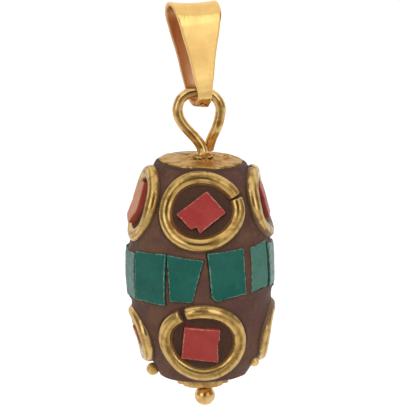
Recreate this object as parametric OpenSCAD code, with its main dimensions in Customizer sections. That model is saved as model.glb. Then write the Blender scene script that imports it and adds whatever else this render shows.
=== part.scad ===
// Inlaid barrel bead pendant: a lac bead with brass rings, coral and turquoise chips,
// strung on a head pin whose eye hangs in a folded strip bail.
// The origin is the middle of the chain passage, on the inside of the bail's fold.
// +Z points up, the front of the bead faces -Y and +X is to the viewer's right.

/* [Bail] */
// Height of the bail from its point to the crest of its fold
bail_height = 10.7; // [9:0.1:14]
// Width of the strip at the crest of the fold
bail_top_width = 5.1; // [4.4:0.1:7]
// Depth of the folded bail, front face to back face
bail_depth = 3.85; // [3.85:0.05:5]
// Thickness of the strip
bail_sheet = 0.36; // [0.3:0.02:0.38]
// How far the edges of the fold flare up above its middle
bail_flare = 0.25; // [0:0.05:0.5]
// How far the crest of the fold drops towards its right end
bail_crest_drop = 0.17; // [0:0.01:0.3]
// Height of the hanging wire above the point of the bail
bail_point_height = 1.6; // [1.5:0.05:2]
// Turn of the bail about the vertical
bail_twist = 22; // [0:1:24]
// Lean of the bail, its top to the left
bail_lean = 3.2; // [0:0.1:6]

/* [Head pin] */
// Thickness of the pin's wire
wire_d = 1.08; // [0.9:0.02:1.1]
// Outer width of the eye
eye_width = 5.5; // [5.1:0.02:6.4]
// Sideways offset of the eye from the stem
eye_shift = 0.1; // [0:0.05:0.4]
// Height from the top cap to the centre of the eye
neck_height = 4.52; // [4.4:0.02:7]
// Height from the top cap to the fork where the two strands of the eye meet
fork_height = 1.5; // [1.2:0.05:1.7]
// Diameter of the ball at the foot of the pin
ball_d = 2.1; // [1.9:0.1:3]

/* [Bead] */
// Length of the lac core between the caps
core_length = 22.6; // [22.2:0.1:26]
// Diameter of the lac core at its widest
core_width = 14.6; // [14:0.1:16.4]
// Diameter of the lac core at its upper edge
core_top_width = 9.2; // [8.9:0.1:9.8]
// Height of the widest place above the middle of the core
belly_rise = 0.3; // [0:0.1:0.6]
// Rounding of the core's lower edge
edge_round = 0.5; // [0.1:0.05:0.5]
// Outer diameter of the tube through the core
tube_d = 2.0; // [1.8:0.1:2.4]
// Width of the tube's flared ends
tube_lip_width = 2.5; // [2.3:0.1:3]
// Height of the tube's flared ends above the caps
tube_lip_height = 0.28; // [0.15:0.01:0.4]

/* [Caps] */
// Diameter of the top cap
top_cap_width = 8.4; // [7.6:0.1:8.8]
// Thickness of the top cap at its middle
top_cap_height = 0.45; // [0.3:0.05:0.6]
// Diameter of the bottom cap
bottom_cap_width = 5.4; // [4.6:0.1:6.4]
// Thickness of the bottom cap at its middle
bottom_cap_height = 0.6; // [0.3:0.05:0.7]

/* [Wire rings] */
// Thickness of the rings' wire
ring_wire = 1.5; // [1.3:0.05:1.55]
// Depth of the rings in the lac
ring_embed = 0.62; // [0.5:0.02:0.7]
// Lac left bare above the upper rings
upper_rim = 0.01; // [0:0.01:0.6]
// Lac left bare below the lower rings
lower_rim = 0.9; // [0.5:0.02:1.2]
// Gap between the rings and the turquoise belt
ring_gap = 0.18; // [0.14:0.01:0.4]

/* [Coral chips] */
// Lac between a ring and the corners of its coral chip
coral_margin = 0.32; // [0.3:0.02:0.8]
// Height of a coral chip's face above the lac
coral_proud = 0.6; // [0.3:0.05:0.8]
// Depth of a coral chip's bed below the lac
coral_bed = 0.75; // [0.6:0.05:1]

/* [Turquoise belt] */
// Lac between two neighbouring turquoise chips
belt_joint = 0.2; // [0.16:0.02:0.6]
// Height of the turquoise belt
belt_height = 5.1; // [4:0.1:5.2]
// Height of the belt's middle above the middle of the core
belt_rise = 0.58; // [0.3:0.02:0.7]
// Height of a turquoise chip's face above the lac
belt_proud = 0.16; // [0.1:0.02:0.4]
// Depth of a turquoise chip's bed below the lac
belt_bed = 1; // [0.9:0.05:1.4]

/* [Granules] */
// Diameter of the larger brass granules
granule_width = 1.25; // [0.9:0.05:1.3]

/* [Clearances] */
// Running gap between the pin and the tube, on each side
run_gap = 0.05; // [0.03:0.01:0.08]
// Gap filled with cement around each inlaid piece
glue_gap = 0.02; // [0.02:0.01:0.04]
// Play between the eye and the bail
hang_play = 0.08; // [0.05:0.01:0.1]
// Play between the ball and the bottom end of the tube
ball_play = 0.06; // [0.03:0.01:0.1]

/* [Hidden] */

// Overrun of a cut past the face that it leaves
overrun = 1;

// Azimuths of the joints between the turquoise chips, and the corners of each chip as shares of half
// its width and height, from the upper left round
belt_joint_azimuths = [-93.5, -60.5, -26.9, 4.2, 39.9, 66.3, 99, 132.5, 166.5, 200, 233.5, 266.5];
belt_shares = [
  [[-0.96, 0.75], [1, 0.78], [0.97, -1.09], [-0.9, -1.2]],
  [[-0.97, 0.89], [1, 0.95], [0.88, -1.12], [0.43, -1.17], [-1, -1.09]],
  [[-1, 0.93], [0.93, 0.73], [0.31, -1], [-0.88, -0.96]],
  [[-0.93, 1], [0.79, 1.1], [0.87, -0.76], [-0.55, -0.97], [-0.79, -0.75]],
  [[-0.71, 1.07], [0.91, 1.2], [0.94, -0.67], [-0.78, -0.78]],
  [[-0.94, 1.05], [0.96, 0.89], [0.92, -0.87], [-0.96, -0.71]],
  [[-0.94, 0.91], [0.93, 0.85], [0.9, -0.97], [-0.96, -1.03]],
  [[-0.95, 0.87], [0.9, 0.93], [0.95, -0.87], [-0.88, -0.93]],
  [[-0.9, 0.85], [0.95, 0.89], [0.91, -0.95], [-0.94, -0.85]],
  [[-0.94, 0.95], [0.93, 0.87], [0.95, -0.99], [-0.9, -1.05]],
  [[-0.92, 0.85], [0.96, 0.83], [0.9, -0.93], [-0.97, -0.87]]
];

// Heights of the main levels, from the chain passage down
eye_r = (eye_width - wire_d) / 2;
wire_r = wire_d / 2;
hang_z = -(bail_height - bail_sheet - bail_point_height);
eye_z = hang_z - eye_r;
cap_z = eye_z - neck_height;
core_top_z = cap_z - top_cap_height;
core_z = core_top_z - core_length / 2;
core_bottom_z = core_top_z - core_length;
tube_bottom_z = core_bottom_z - bottom_cap_height - tube_lip_height;

// Outline of one leaf of the bail from its point up to the start of the fold: height as a share of
// the bail's height, half depth as a share of half its depth, and width as a share of its top width;
// above it only height and width
bail_leaf_shares = [
  [0, 0.02, 0.28], [0.008, 0.24, 0.285], [0.03, 0.48, 0.285], [0.06, 0.71, 0.285], [0.1, 0.88, 0.29],
  [0.145, 0.96, 0.3], [0.2, 0.975, 0.33], [0.27, 0.98, 0.39], [0.35, 0.98, 0.455],
  [0.44, 0.985, 0.515], [0.53, 0.99, 0.59], [0.62, 0.995, 0.68], [0.71, 1, 0.775], [0.78, 1, 0.83]
];
bail_fold_shares = [[0.9, 0.95], [1, 1]];
bail_fold_steps = 12;
bail_lanes = 6;
bail_slant = 0.16;
bail_tip_solid = 0.85;
pocket_share = 0.55;
fold_angle = 180;

// The bail's point, the start of its fold, and the bottom of the pocket in which the eye hangs: the
// round eye dips lower at the strip's edges than at its middle, and the lean adds to that
bail_point_z = -(bail_height - bail_sheet);
bail_fold_z = bail_sheet - bail_depth / 2;
bail_pocket_r = bail_depth * pocket_share;
dip_reach = bail_top_width / 2 * bail_leaf_shares[5][2] + wire_r * sin(bail_twist);
eye_dip = eye_r - sqrt(eye_r * eye_r - dip_reach * dip_reach) + dip_reach * sin(bail_lean);
bail_pocket_z = hang_z - wire_r - eye_dip - hang_play;

// The eye hangs at the middle of the leaning bail, and the stem beside it
eye_x = -hang_z * tan(bail_lean);
pin_x = eye_x + eye_shift;

// The ball touches the rim of the tube's bore, less its play
ball_r = ball_d / 2;
bore_r = wire_r + run_gap;
ball_z = tube_bottom_z - ball_play - sqrt(ball_r * ball_r - bore_r * bore_r);

// The side of the core is an arc that turns about the axis
core_r = core_width / 2;
shoulder = core_length / 2 - belly_rise;
sagitta = core_r - core_top_width / 2;
arc_r = (shoulder * shoulder + sagitta * sagitta) / (2 * sagitta);
arc_x = core_r - arc_r;

// Radius of the core's side at a height above its middle
function side_r(z) = arc_x + sqrt(arc_r * arc_r - (z - belly_rise) * (z - belly_rise));

// Angle by which the side faces up at that height
function side_tilt(z) = asin((z - belly_rise) / arc_r);

// A turquoise chip lies in the middle between its two joints, and is as wide as they leave it
belt_count = len(belt_joint_azimuths) - 1;
function belt_azimuth(i) = (belt_joint_azimuths[i] + belt_joint_azimuths[i + 1]) / 2;
function belt_half_angle(i) = (belt_joint_azimuths[i + 1] - belt_joint_azimuths[i]) / 2;
function belt_half_width(i, r) = r * tan(belt_half_angle(i)) - belt_joint / 2 / cos(belt_half_angle(i));

// Rings round the bead, from the front to the right, back and left: azimuth, height as a share of the
// largest ring, width as a share of the ring's own height, angle of the opening in the wire as seen
// from outside, and the opening's width as a share of the wire
upper_azimuths = [0.7, 91, 181, -75];
upper_size_shares = [1, 0.95, 0.97, 0.94];
upper_oval_shares = [1.045, 0.98, 1, 0.82];
upper_opening_angles = [24, 96, 150, 200];
upper_opening_shares = [0.3, 0.4, 0.35, 0.3];
lower_azimuths = [0, 95, 180, -84];
lower_size_shares = [1, 0.78, 0.9, 0.71];
lower_oval_shares = [1.035, 1, 1, 1];
lower_opening_angles = [118, 60, 80, 130];
lower_opening_shares = [0.5, 0.35, 0.4, 0.35];
ring_steps = 36;
ring_sides = 10;
channel_steps = 48;
ring_margin = ring_wire / 2 + glue_gap;
ring_lift = ring_wire / 2 - ring_embed;

// Angle that a ring may take up on each side of its middle, going round the bead
ring_half_turn_angle = 41.4;

// A ring fills the lac between the belt and the end of the core, or the way round to its neighbours
// where that is less
function ring_reach(low, high) =
  let (z = (low + high) / 2)
  min((high - low) / 2 / cos(side_tilt(z)), (side_r(z) + ring_lift) * sin(ring_half_turn_angle));
upper_low = belt_rise + belt_height / 2 + ring_gap;
upper_high = core_length / 2 - upper_rim;
upper_z = (upper_low + upper_high) / 2;
upper_reach = ring_reach(upper_low, upper_high);
lower_low = lower_rim - core_length / 2;
lower_high = belt_rise - belt_height / 2 - ring_gap;
lower_z = (lower_low + lower_high) / 2;
lower_reach = ring_reach(lower_low, lower_high);

// Steps of the eye's round part and of the two strands below it
eye_steps = 24;
strand_steps = 6;

// Where the eye's wire leaves the stem as a share of the fork's height, the size of its first
// section, how far the cut end lies beside and behind the stem and below the fork as shares of the
// wire, and how far the end strand runs straight at its two ends
stem_share = 0.4;
foot_share = 0.8;
tail_side_share = 0.78;
tail_drop_share = 0.7;
tail_lead_share = 0.35;
tail_rise_share = 0.3;

// Corners of the coral chips as shares of the widest chip, going round
diamond_shares = [
  [0.1, 0.42], [0.51, -0.06], [-0.03, -0.5], [-0.11, -0.36], [-0.23, -0.41], [-0.55, -0.07]
];
square_shares = [
  [-0.35, 0.41], [0.37, 0.34], [0.34, 0.11], [0.27, 0.02], [0.28, -0.41], [-0.46, -0.31]
];
slab_shares = [[-0.3, 0.44], [0.27, 0.4], [0.31, -0.41], [-0.25, -0.44]];
kite_shares = [[0.02, 0.44], [0.4, 0.06], [0.05, -0.42], [-0.41, -0.04]];
tablet_shares = [[-0.32, 0.62], [0.3, 0.56], [0.34, -0.6], [-0.28, -0.64]];
upper_coral_shares = [diamond_shares, slab_shares, kite_shares, tablet_shares];
lower_coral_shares = [square_shares, kite_shares, slab_shares, kite_shares];

// Granules between the lower rings: azimuth, drop below the middle of the core as a share of half
// its length, diameter as a share of the larger granules, and how far each stands proud as a share
// of its radius
granule_azimuths = [-83, 69, 122, -130];
granule_drop_shares = [0.88, 0.81, 0.86, 0.86];
granule_size_shares = [1, 0.86, 0.92, 0.88];
granule_proud_shares = [0.6, 0.35, 0.3, 0.3];

// Hand-cut rims of the caps, going round, as shares of their radius, and the share of each cap's
// thickness that is left at its rim
top_rim_shares = [
  1, 1, 0.98, 1.01, 1, 1.01, 0.98, 1, 1.01, 0.99, 1.01, 1, 1.02, 1, 0.98, 1, 1.01, 0.99, 0.97, 1,
  1.01, 1, 0.98, 1.01
];
bottom_rim_shares = [1, 0.9, 1.02, 0.94, 0.86, 0.98, 1.04, 0.92, 1, 0.88, 0.96, 1.03, 0.9, 1, 0.95, 0.87];
top_edge_share = 0.6;
bottom_edge_share = 0.95;

// Joins the sections of a closed or open sweep into one solid
module sweep(sections, closed) {
  rows = len(sections);
  cols = len(sections[0]);
  runs = closed ? rows : rows - 1;
  sides = [
    for (i = [0 : runs - 1], j = [0 : cols - 1])
      let (a = i * cols + j, b = i * cols + (j + 1) % cols)
      let (c = ((i + 1) % rows) * cols + (j + 1) % cols, d = ((i + 1) % rows) * cols + j)
      each [[a, c, b], [a, d, c]]
  ];
  first_cap = [for (j = [1 : cols - 2]) [0, j, j + 1]];
  last = (rows - 1) * cols;
  last_cap = [for (j = [1 : cols - 2]) [last, last + j + 1, last + j]];
  polyhedron(
    points = [for (s = sections) each s],
    faces = closed ? sides : concat(sides, first_cap, last_cap)
  );
}

// One round section of wire at a point, square to the direction in which the wire runs
function wire_section(p, run, side, r, count) =
  let (u = unit(side - (side * run) * run), v = cross(run, u))
  [for (k = [0 : count - 1]) p + r * (cos(360 * k / count) * u + sin(360 * k / count) * v)];

function unit(v) = v / norm(v);

// Frame at the middle of the bead
module at_bead() {
  translate([pin_x, 0, core_z])
    children();
}

// Frame on the core's side at an azimuth and a height: X runs round, Y up and Z out of the side
module on_side(azimuth, z) {
  rotate([0, 0, azimuth])
    translate([0, -side_r(z), z])
      rotate([90 - side_tilt(z), 0, 0])
        children();
}

// Half of the core's outline, grown by an amount
module core_outline(grow) {
  intersection() {
    translate([arc_x, belly_rise])
      circle(arc_r + grow, $fn = 240);
    polygon([
      [0, core_length / 2],
      [core_r, core_length / 2],
      [core_r, edge_round - core_length / 2],
      [side_r(-core_length / 2) - edge_round, -core_length / 2],
      [0, -core_length / 2]
    ]);
  }
}

module core_body(grow) {
  rotate_extrude($fn = 120)
    core_outline(grow);
}

// Channel through the lac for one wire ring
module ring_channel(azimuth, z, reach, oval) {
  half = [reach * oval - ring_wire / 2, reach - ring_wire / 2];
  on_side(azimuth, z)
    translate([0, 0, -core_r / 2])
      linear_extrude(core_r)
        difference() {
          polygon(ellipse(half.x + ring_margin, half.y + ring_margin));
          polygon(ellipse(half.x - ring_margin, half.y - ring_margin));
        }
}

module upper_channel(i) {
  ring_channel(upper_azimuths[i], upper_z, upper_size_shares[i] * upper_reach, upper_oval_shares[i]);
}

module lower_channel(i) {
  ring_channel(lower_azimuths[i], lower_z, lower_size_shares[i] * lower_reach, lower_oval_shares[i]);
}

function ellipse(half_width, half_height) = [
  for (i = [0 : channel_steps - 1])
    [half_width * cos(360 * i / channel_steps), half_height * sin(360 * i / channel_steps)]
];

// Distance of a point beyond the core's side, less the lift of a ring's wire
function beyond_side(p, lift) =
  norm([norm([p.x, p.y]) - arc_x, p.z - belly_rise]) - arc_r - lift;

// The point moved along a direction until it lies at that lift
function settled(p, out, lift, turns) =
  turns == 0 ? p : settled(p - beyond_side(p, lift) * out, out, lift, turns - 1);

// Open wire ring bent over the side of the core
module wire_ring(azimuth, z, reach, oval, opening_angle, opening_share) {
  tilt = side_tilt(z);
  path_r = reach - ring_wire / 2;
  path_half_width = reach * oval - ring_wire / 2;
  half_gap = asin(opening_share * ring_wire / (2 * path_r));
  out = [0, -cos(tilt), sin(tilt)];
  up = [0, sin(tilt), cos(tilt)];
  across = [1, 0, 0];
  centre = [0, -side_r(z), z];
  angles = [for (i = [0 : ring_steps]) opening_angle + half_gap + i * (360 - 2 * half_gap) / ring_steps];
  spokes = [for (a = angles) cos(a) * across + sin(a) * up];
  path = [for (a = angles) path_half_width * cos(a) * across + path_r * sin(a) * up];
  route = [for (p = path) settled(centre + p, out, ring_lift, 12)];
  sections = [
    for (i = [0 : ring_steps])
      let (before = route[max(i - 1, 0)], after = route[min(i + 1, ring_steps)])
      wire_section(route[i], unit(after - before), spokes[i], ring_wire / 2, ring_sides)
  ];
  color("darkgoldenrod")
    at_bead()
      rotate([0, 0, azimuth])
        sweep(sections, false);
}

module upper_ring(i) {
  reach = upper_size_shares[i] * upper_reach;
  oval = upper_oval_shares[i];
  wire_ring(upper_azimuths[i], upper_z, reach, oval, upper_opening_angles[i], upper_opening_shares[i]);
}

module lower_ring(i) {
  reach = lower_size_shares[i] * lower_reach;
  oval = lower_oval_shares[i];
  wire_ring(lower_azimuths[i], lower_z, reach, oval, lower_opening_angles[i], lower_opening_shares[i]);
}

// Coral chip inside a ring, as wide as the ring allows, or its bed when grown by the cement gap
module coral_prism(azimuth, z, reach, shares, grow) {
  width = 2 * (reach - ring_wire - coral_margin);
  on_side(azimuth, z)
    translate([0, 0, -coral_bed - grow])
      linear_extrude(coral_bed + coral_proud + 2 * grow)
        polygon([for (s = shares) s * (width + 4 * grow)]);
}

module upper_coral_prism(i, grow) {
  room = upper_size_shares[i] * min(1, upper_oval_shares[i]) * upper_reach;
  coral_prism(upper_azimuths[i], upper_z, room, upper_coral_shares[i], grow);
}

module lower_coral_prism(i, grow) {
  room = lower_size_shares[i] * min(1, lower_oval_shares[i]) * lower_reach;
  coral_prism(lower_azimuths[i], lower_z, room, lower_coral_shares[i], grow);
}

module upper_coral(i) {
  color("firebrick")
    at_bead()
      upper_coral_prism(i, 0);
}

module lower_coral(i) {
  color("firebrick")
    at_bead()
      lower_coral_prism(i, 0);
}

// Turquoise chip of the belt: flat across, worn to the curve of the bead in height, and ground to a
// wedge that leaves the joints free
module belt_prism(index, grow) {
  face_r = core_r + belt_proud;
  far_r = face_r + overrun;
  half_angle = belt_half_angle(index);
  half = [belt_half_width(index, face_r) + 2 * grow, belt_height / 2 + 2 * grow];
  wedge_x = belt_half_width(index, far_r) + grow / cos(half_angle);
  wedge_y = (belt_joint / 2 - grow) / sin(half_angle);
  rotate([0, 0, belt_azimuth(index)])
    intersection() {
      translate([0, grow + belt_bed - core_r, belt_rise])
        rotate([90, 0, 0])
          linear_extrude(belt_bed + belt_proud + overrun)
            polygon([for (s = belt_shares[index]) [s.x * half.x, s.y * half.y]]);
      translate([0, 0, belt_rise - belt_height])
        linear_extrude(2 * belt_height)
          polygon([[0, -wedge_y], [-wedge_x, -far_r], [wedge_x, -far_r]]);
      translate([-core_r, -arc_x, belly_rise])
        rotate([0, 90, 0])
          cylinder(r = arc_r + belt_proud + grow, h = core_width, $fn = 240);
    }
}

module turquoise_chip(index) {
  color("darkcyan")
    at_bead()
      belt_prism(index, 0);
}

// Brass granule at the lower end of the bead, or its socket when grown by the cement gap
module granule_ball(i, grow) {
  r = granule_size_shares[i] * granule_width / 2;
  on_side(granule_azimuths[i], -granule_drop_shares[i] * core_length / 2)
    translate([0, 0, granule_proud_shares[i] * r])
      sphere(r = r + grow, $fn = 48);
}

module granule(i) {
  color("goldenrod")
    at_bead()
      granule_ball(i, 0);
}

module lac_core() {
  color("saddlebrown")
    at_bead()
      difference() {
        union() {
          core_body(-ring_embed - glue_gap);
          difference() {
            core_body(0);
            for (i = [0 : len(upper_azimuths) - 1])
              upper_channel(i);
            for (i = [0 : len(lower_azimuths) - 1])
              lower_channel(i);
          }
        }
        for (i = [0 : len(upper_azimuths) - 1])
          upper_coral_prism(i, glue_gap);
        for (i = [0 : len(lower_azimuths) - 1])
          lower_coral_prism(i, glue_gap);
        for (i = [0 : belt_count - 1])
          belt_prism(i, glue_gap);
        for (i = [0 : len(granule_azimuths) - 1])
          granule_ball(i, glue_gap);
        translate([0, 0, -core_length / 2 - overrun])
          cylinder(d = tube_d + 2 * glue_gap, h = core_length + 2 * overrun, $fn = 64);
      }
}

// Tube through the bead, flared over both caps
module core_tube() {
  top = cap_z - core_z;
  bottom = core_bottom_z - bottom_cap_height - core_z;
  tube_r = tube_d / 2;
  lip_r = tube_lip_width / 2;
  color("peru")
    at_bead()
      rotate_extrude($fn = 64)
        polygon([
          [bore_r, bottom - tube_lip_height],
          [lip_r - tube_lip_height / 2, bottom - tube_lip_height],
          [lip_r, bottom - tube_lip_height / 2],
          [lip_r, bottom],
          [tube_r, bottom],
          [tube_r, top],
          [lip_r, top],
          [lip_r, top + tube_lip_height / 2],
          [lip_r - tube_lip_height / 2, top + tube_lip_height],
          [bore_r, top + tube_lip_height]
        ]);
}

// Hammered disc on an end of the core, thinner at its rim, with a hand-cut edge
module end_cap(width, height, rim_shares, edge_share) {
  count = len(rim_shares);
  hole_r = tube_d / 2 + glue_gap;
  intersection() {
    rotate_extrude($fn = 96)
      polygon([
        [hole_r, 0],
        [width / 2 + overrun, 0],
        [width / 2 + overrun, height * edge_share],
        [tube_lip_width / 2, height],
        [hole_r, height]
      ]);
    linear_extrude(height)
      polygon([
        for (k = [0 : count - 1])
          rim_shares[k] * width / 2 * [cos(360 * k / count), sin(360 * k / count)]
      ]);
  }
}

module top_cap() {
  color("burlywood")
    at_bead()
      translate([0, 0, core_length / 2])
        end_cap(top_cap_width, top_cap_height, top_rim_shares, top_edge_share);
}

module bottom_cap() {
  color("burlywood")
    at_bead()
      translate([0, 0, -core_length / 2])
        mirror([0, 0, 1])
          end_cap(bottom_cap_width, bottom_cap_height, bottom_rim_shares, bottom_edge_share);
}

// Head pin: ball, stem and an eye bent from the same wire
module head_pin() {
  stem_top = cap_z + fork_height * stem_share;
  color("darkgoldenrod")
    translate([pin_x, 0, 0]) {
      rotate_extrude($fn = 48)
        union() {
          translate([0, ball_z])
            intersection() {
              circle(ball_r, $fn = 72);
              translate([0, -ball_r])
                square([ball_r, ball_d]);
            }
          translate([0, ball_z])
            square([wire_r, stem_top - ball_z]);
        }
      eye_wire(stem_top);
    }
}

// The eye: the wire leaves the stem, goes round over the top and ends beside the stem
module eye_wire(stem_top) {
  fork = [0, 0, cap_z + fork_height];
  eye = [-eye_shift, 0, eye_z];
  spread = asin(eye_r / norm(fork - eye));
  slant = atan(eye_shift / (eye_z - fork.z));
  sweep_angle = 180 + 2 * spread;
  start = 180 + spread + slant;
  loop = [
    for (i = [0 : eye_steps])
      let (a = start - i * sweep_angle / eye_steps)
      eye + eye_r * [cos(a), 0, sin(a)]
  ];
  foot = [0, 0, stem_top - wire_r];
  neck = [0, 0, stem_top + wire_r / 2];
  rise = [for (i = [0 : strand_steps - 1]) bend(neck, fork, fork, loop[0], i / strand_steps)];
  tail_side = wire_d * tail_side_share;
  tail_end = [tail_side, tail_side, fork.z - wire_d * tail_drop_share];
  tail_guide = tail_end + (loop[eye_steps] - tail_end) * tail_rise_share;
  lead = loop[eye_steps] + (fork - loop[eye_steps]) * tail_lead_share;
  fall = [for (i = [1 : strand_steps]) bend(loop[eye_steps], lead, tail_guide, tail_end, i / strand_steps)];
  route = concat([foot], rise, loop, fall);
  count = len(route);
  sections = [
    for (i = [0 : count - 1])
      let (before = route[max(i - 1, 0)], after = route[min(i + 1, count - 1)])
      let (r = i == 0 ? wire_r * foot_share : wire_r)
      wire_section(route[i], unit(after - before), [0, 1, 0], r, ring_sides)
  ];
  sweep(sections, false);
}

// Point at a share of the way along a curve with two guide points
function bend(a, b, c, d, t) =
  pow(1 - t, 3) * a + 3 * pow(1 - t, 2) * t * b + 3 * (1 - t) * t * t * c + pow(t, 3) * d;

// Half depth and half width of the bail's outer face at a height
function bail_half_depth(z) =
  bail_depth / 2 * lookup((z - bail_point_z) / bail_height, [for (s = bail_leaf_shares) [s[0], s[1]]]);
function bail_half_width(z) =
  bail_top_width / 2 * lookup((z - bail_point_z) / bail_height, [
    for (s = bail_leaf_shares) [s[0], s[2]], each bail_fold_shares
  ]);

// Inside of a leaf: the strip's thickness in from the outer face, and round where the leaves meet
function bail_inner_depth(z) =
  let (rise = min(z - bail_pocket_z, bail_pocket_r))
  min(bail_half_depth(z) - bail_sheet, sqrt(bail_pocket_r * bail_pocket_r - pow(bail_pocket_r - rise, 2)));

// Bail: a tapered strip folded over the chain, its two ends soldered together at the point
module bail() {
  squeeze = (bail_fold_z - bail_pocket_z) / (bail_fold_z - bail_point_z);
  leaf_z = [for (i = [1 : len(bail_leaf_shares) - 1]) bail_point_z + bail_height * bail_leaf_shares[i][0]];
  leaf = [
    for (z = leaf_z)
      let (inner_z = bail_pocket_z + (z - bail_point_z) * squeeze)
      [[bail_half_depth(z), z], [bail_inner_depth(inner_z), inner_z]]
  ];
  fold = [
    for (i = [0 : bail_fold_steps])
      let (a = fold_angle * i / bail_fold_steps, ray = [cos(a), sin(a)])
      [[0, bail_fold_z] + bail_depth / 2 * ray, [0, bail_fold_z] + (bail_depth / 2 - bail_sheet) * ray]
  ];
  back = [for (i = [len(leaf) - 1 : -1 : 0]) [for (p = leaf[i]) [-p.x, p.y]]];
  outline = concat([[[0, bail_point_z], [0, bail_pocket_z]]], leaf, fold, back);
  sections = [
    for (pair = outline)
      concat(
        [for (k = [0 : bail_lanes]) strip_point(pair[0], k)],
        [for (k = [bail_lanes : -1 : 0]) strip_point(pair[1], k)]
      )
  ];
  color("gold")
    rotate([0, -bail_lean, 0])
      rotate([0, 0, bail_twist])
        sweep(sections, true);
}

// Point of the strip on one of its lanes: the fold flares at its edges, its crest drops to one side,
// and the point is cut askew
function strip_point(p, lane) =
  let (across = 2 * lane / bail_lanes - 1)
  let (topness = max(0, (p.y - bail_fold_z) / (bail_depth / 2)))
  let (lowness = max(0, 1 - (p.y - bail_point_z) / bail_tip_solid))
  let (flare = topness * across * (bail_flare * across - bail_crest_drop))
  let (lift = flare - bail_slant * lowness * across)
  [across * bail_half_width(p.y), -p.x, p.y + lift];

bail();
head_pin();
core_tube();
top_cap();
bottom_cap();
lac_core();
upper_ring(0);  // upper_ring_front
upper_ring(1);  // upper_ring_right
upper_ring(2);  // upper_ring_back
upper_ring(3);  // upper_ring_left
lower_ring(0);  // lower_ring_front
lower_ring(1);  // lower_ring_right
lower_ring(2);  // lower_ring_back
lower_ring(3);  // lower_ring_left
upper_coral(0);  // upper_coral_front
upper_coral(1);  // upper_coral_right
upper_coral(2);  // upper_coral_back
upper_coral(3);  // upper_coral_left
lower_coral(0);  // lower_coral_front
lower_coral(1);  // lower_coral_right
lower_coral(2);  // lower_coral_back
lower_coral(3);  // lower_coral_left
turquoise_chip(0);  // turquoise_01
turquoise_chip(1);  // turquoise_02
turquoise_chip(2);  // turquoise_03
turquoise_chip(3);  // turquoise_04
turquoise_chip(4);  // turquoise_05
turquoise_chip(5);  // turquoise_06
turquoise_chip(6);  // turquoise_07
turquoise_chip(7);  // turquoise_08
turquoise_chip(8);  // turquoise_09
turquoise_chip(9);  // turquoise_10
turquoise_chip(10);  // turquoise_11
granule(0);  // granule_front_left
granule(1);  // granule_front_right
granule(2);  // granule_back_right
granule(3);  // granule_back_left
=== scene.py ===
"""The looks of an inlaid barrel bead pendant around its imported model: a brown lac bead set with
open brass rings, coral and turquoise chips, on a brass head pin in a gold-plated strip bail.
Sizes are in millimetres, as in the part's source, and turned to metres where a mesh is made."""
from math import asin, cos, degrees, exp, hypot, pi, radians, sin, sqrt, tan

import bmesh
import bpy
import numpy as np
from mathutils import Matrix, Vector, noise


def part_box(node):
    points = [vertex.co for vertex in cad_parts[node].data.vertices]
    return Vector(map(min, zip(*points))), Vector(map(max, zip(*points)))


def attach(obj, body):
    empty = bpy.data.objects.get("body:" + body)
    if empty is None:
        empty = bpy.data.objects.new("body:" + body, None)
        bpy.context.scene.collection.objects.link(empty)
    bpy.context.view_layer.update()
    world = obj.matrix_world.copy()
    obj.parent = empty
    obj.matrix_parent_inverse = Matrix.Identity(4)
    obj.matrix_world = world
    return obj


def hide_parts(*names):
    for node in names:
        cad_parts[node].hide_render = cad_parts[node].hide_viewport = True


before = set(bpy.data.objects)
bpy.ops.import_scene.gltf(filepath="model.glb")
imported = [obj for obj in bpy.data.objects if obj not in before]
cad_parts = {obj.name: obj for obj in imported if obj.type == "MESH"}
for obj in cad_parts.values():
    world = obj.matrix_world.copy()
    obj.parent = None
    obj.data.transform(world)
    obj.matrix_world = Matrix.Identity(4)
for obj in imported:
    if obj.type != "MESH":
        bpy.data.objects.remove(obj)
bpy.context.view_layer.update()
MM = 0.001

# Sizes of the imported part
CORE_LENGTH, CORE_WIDTH, CORE_TOP_WIDTH, BELLY_RISE = 22.6, 14.6, 9.2, 0.3
BAIL_HEIGHT, BAIL_TOP_WIDTH, BAIL_DEPTH, BAIL_SHEET = 10.7, 5.1, 3.85, 0.36
BAIL_FLARE, BAIL_CREST_DROP, BAIL_POINT_HEIGHT = 0.2, 0.23, 1.6
BAIL_TWIST, BAIL_LEAN, BAIL_SLANT = 22, 3.2, 0.16
WIRE, EYE_WIDTH, NECK_HEIGHT, BALL = 1.08, 5.5, 4.52, 2.1
TUBE, TUBE_LIP_WIDTH, TUBE_LIP_HEIGHT = 2.0, 2.5, 0.28
TOP_CAP_WIDTH, TOP_CAP_HEIGHT, BOTTOM_CAP_WIDTH, BOTTOM_CAP_HEIGHT = 8.4, 0.45, 5.4, 0.6
RING_WIRE, RING_EMBED, CORAL_MARGIN, CORAL_PROUD, CORAL_BED = 1.5, 0.62, 0.32, 0.6, 0.75
UPPER_RIM, LOWER_RIM, RING_GAP, RING_HALF_TURN = 0.01, 0.9, 0.18, radians(41.4)
BELT_JOINT, BELT_HEIGHT, BELT_RISE, BELT_PROUD, BELT_BED = 0.2, 5.1, 0.58, 0.16, 1.0
GRANULE_WIDTH = 1.25
RUNNING_GAP, BALL_GAP, EYE_GAP = 0.05, 0.06, 0.08

# Where the bead sits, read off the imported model
LAC_LOW, LAC_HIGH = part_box("lac_core")
TUBE_LOW, TUBE_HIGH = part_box("core_tube")
BEAD = Vector(((TUBE_LOW.x + TUBE_HIGH.x) / 2, 0, (LAC_LOW.z + LAC_HIGH.z) / 2)) / MM

# The barrel: an arc turned about the bead's axis
CORE_R = CORE_WIDTH / 2
SHOULDER = CORE_LENGTH / 2 - BELLY_RISE
SAGITTA = CORE_R - CORE_TOP_WIDTH / 2
ARC_R = (SHOULDER ** 2 + SAGITTA ** 2) / (2 * SAGITTA)
ARC_X = CORE_R - ARC_R
RING_LIFT = RING_WIRE / 2 - RING_EMBED

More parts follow.
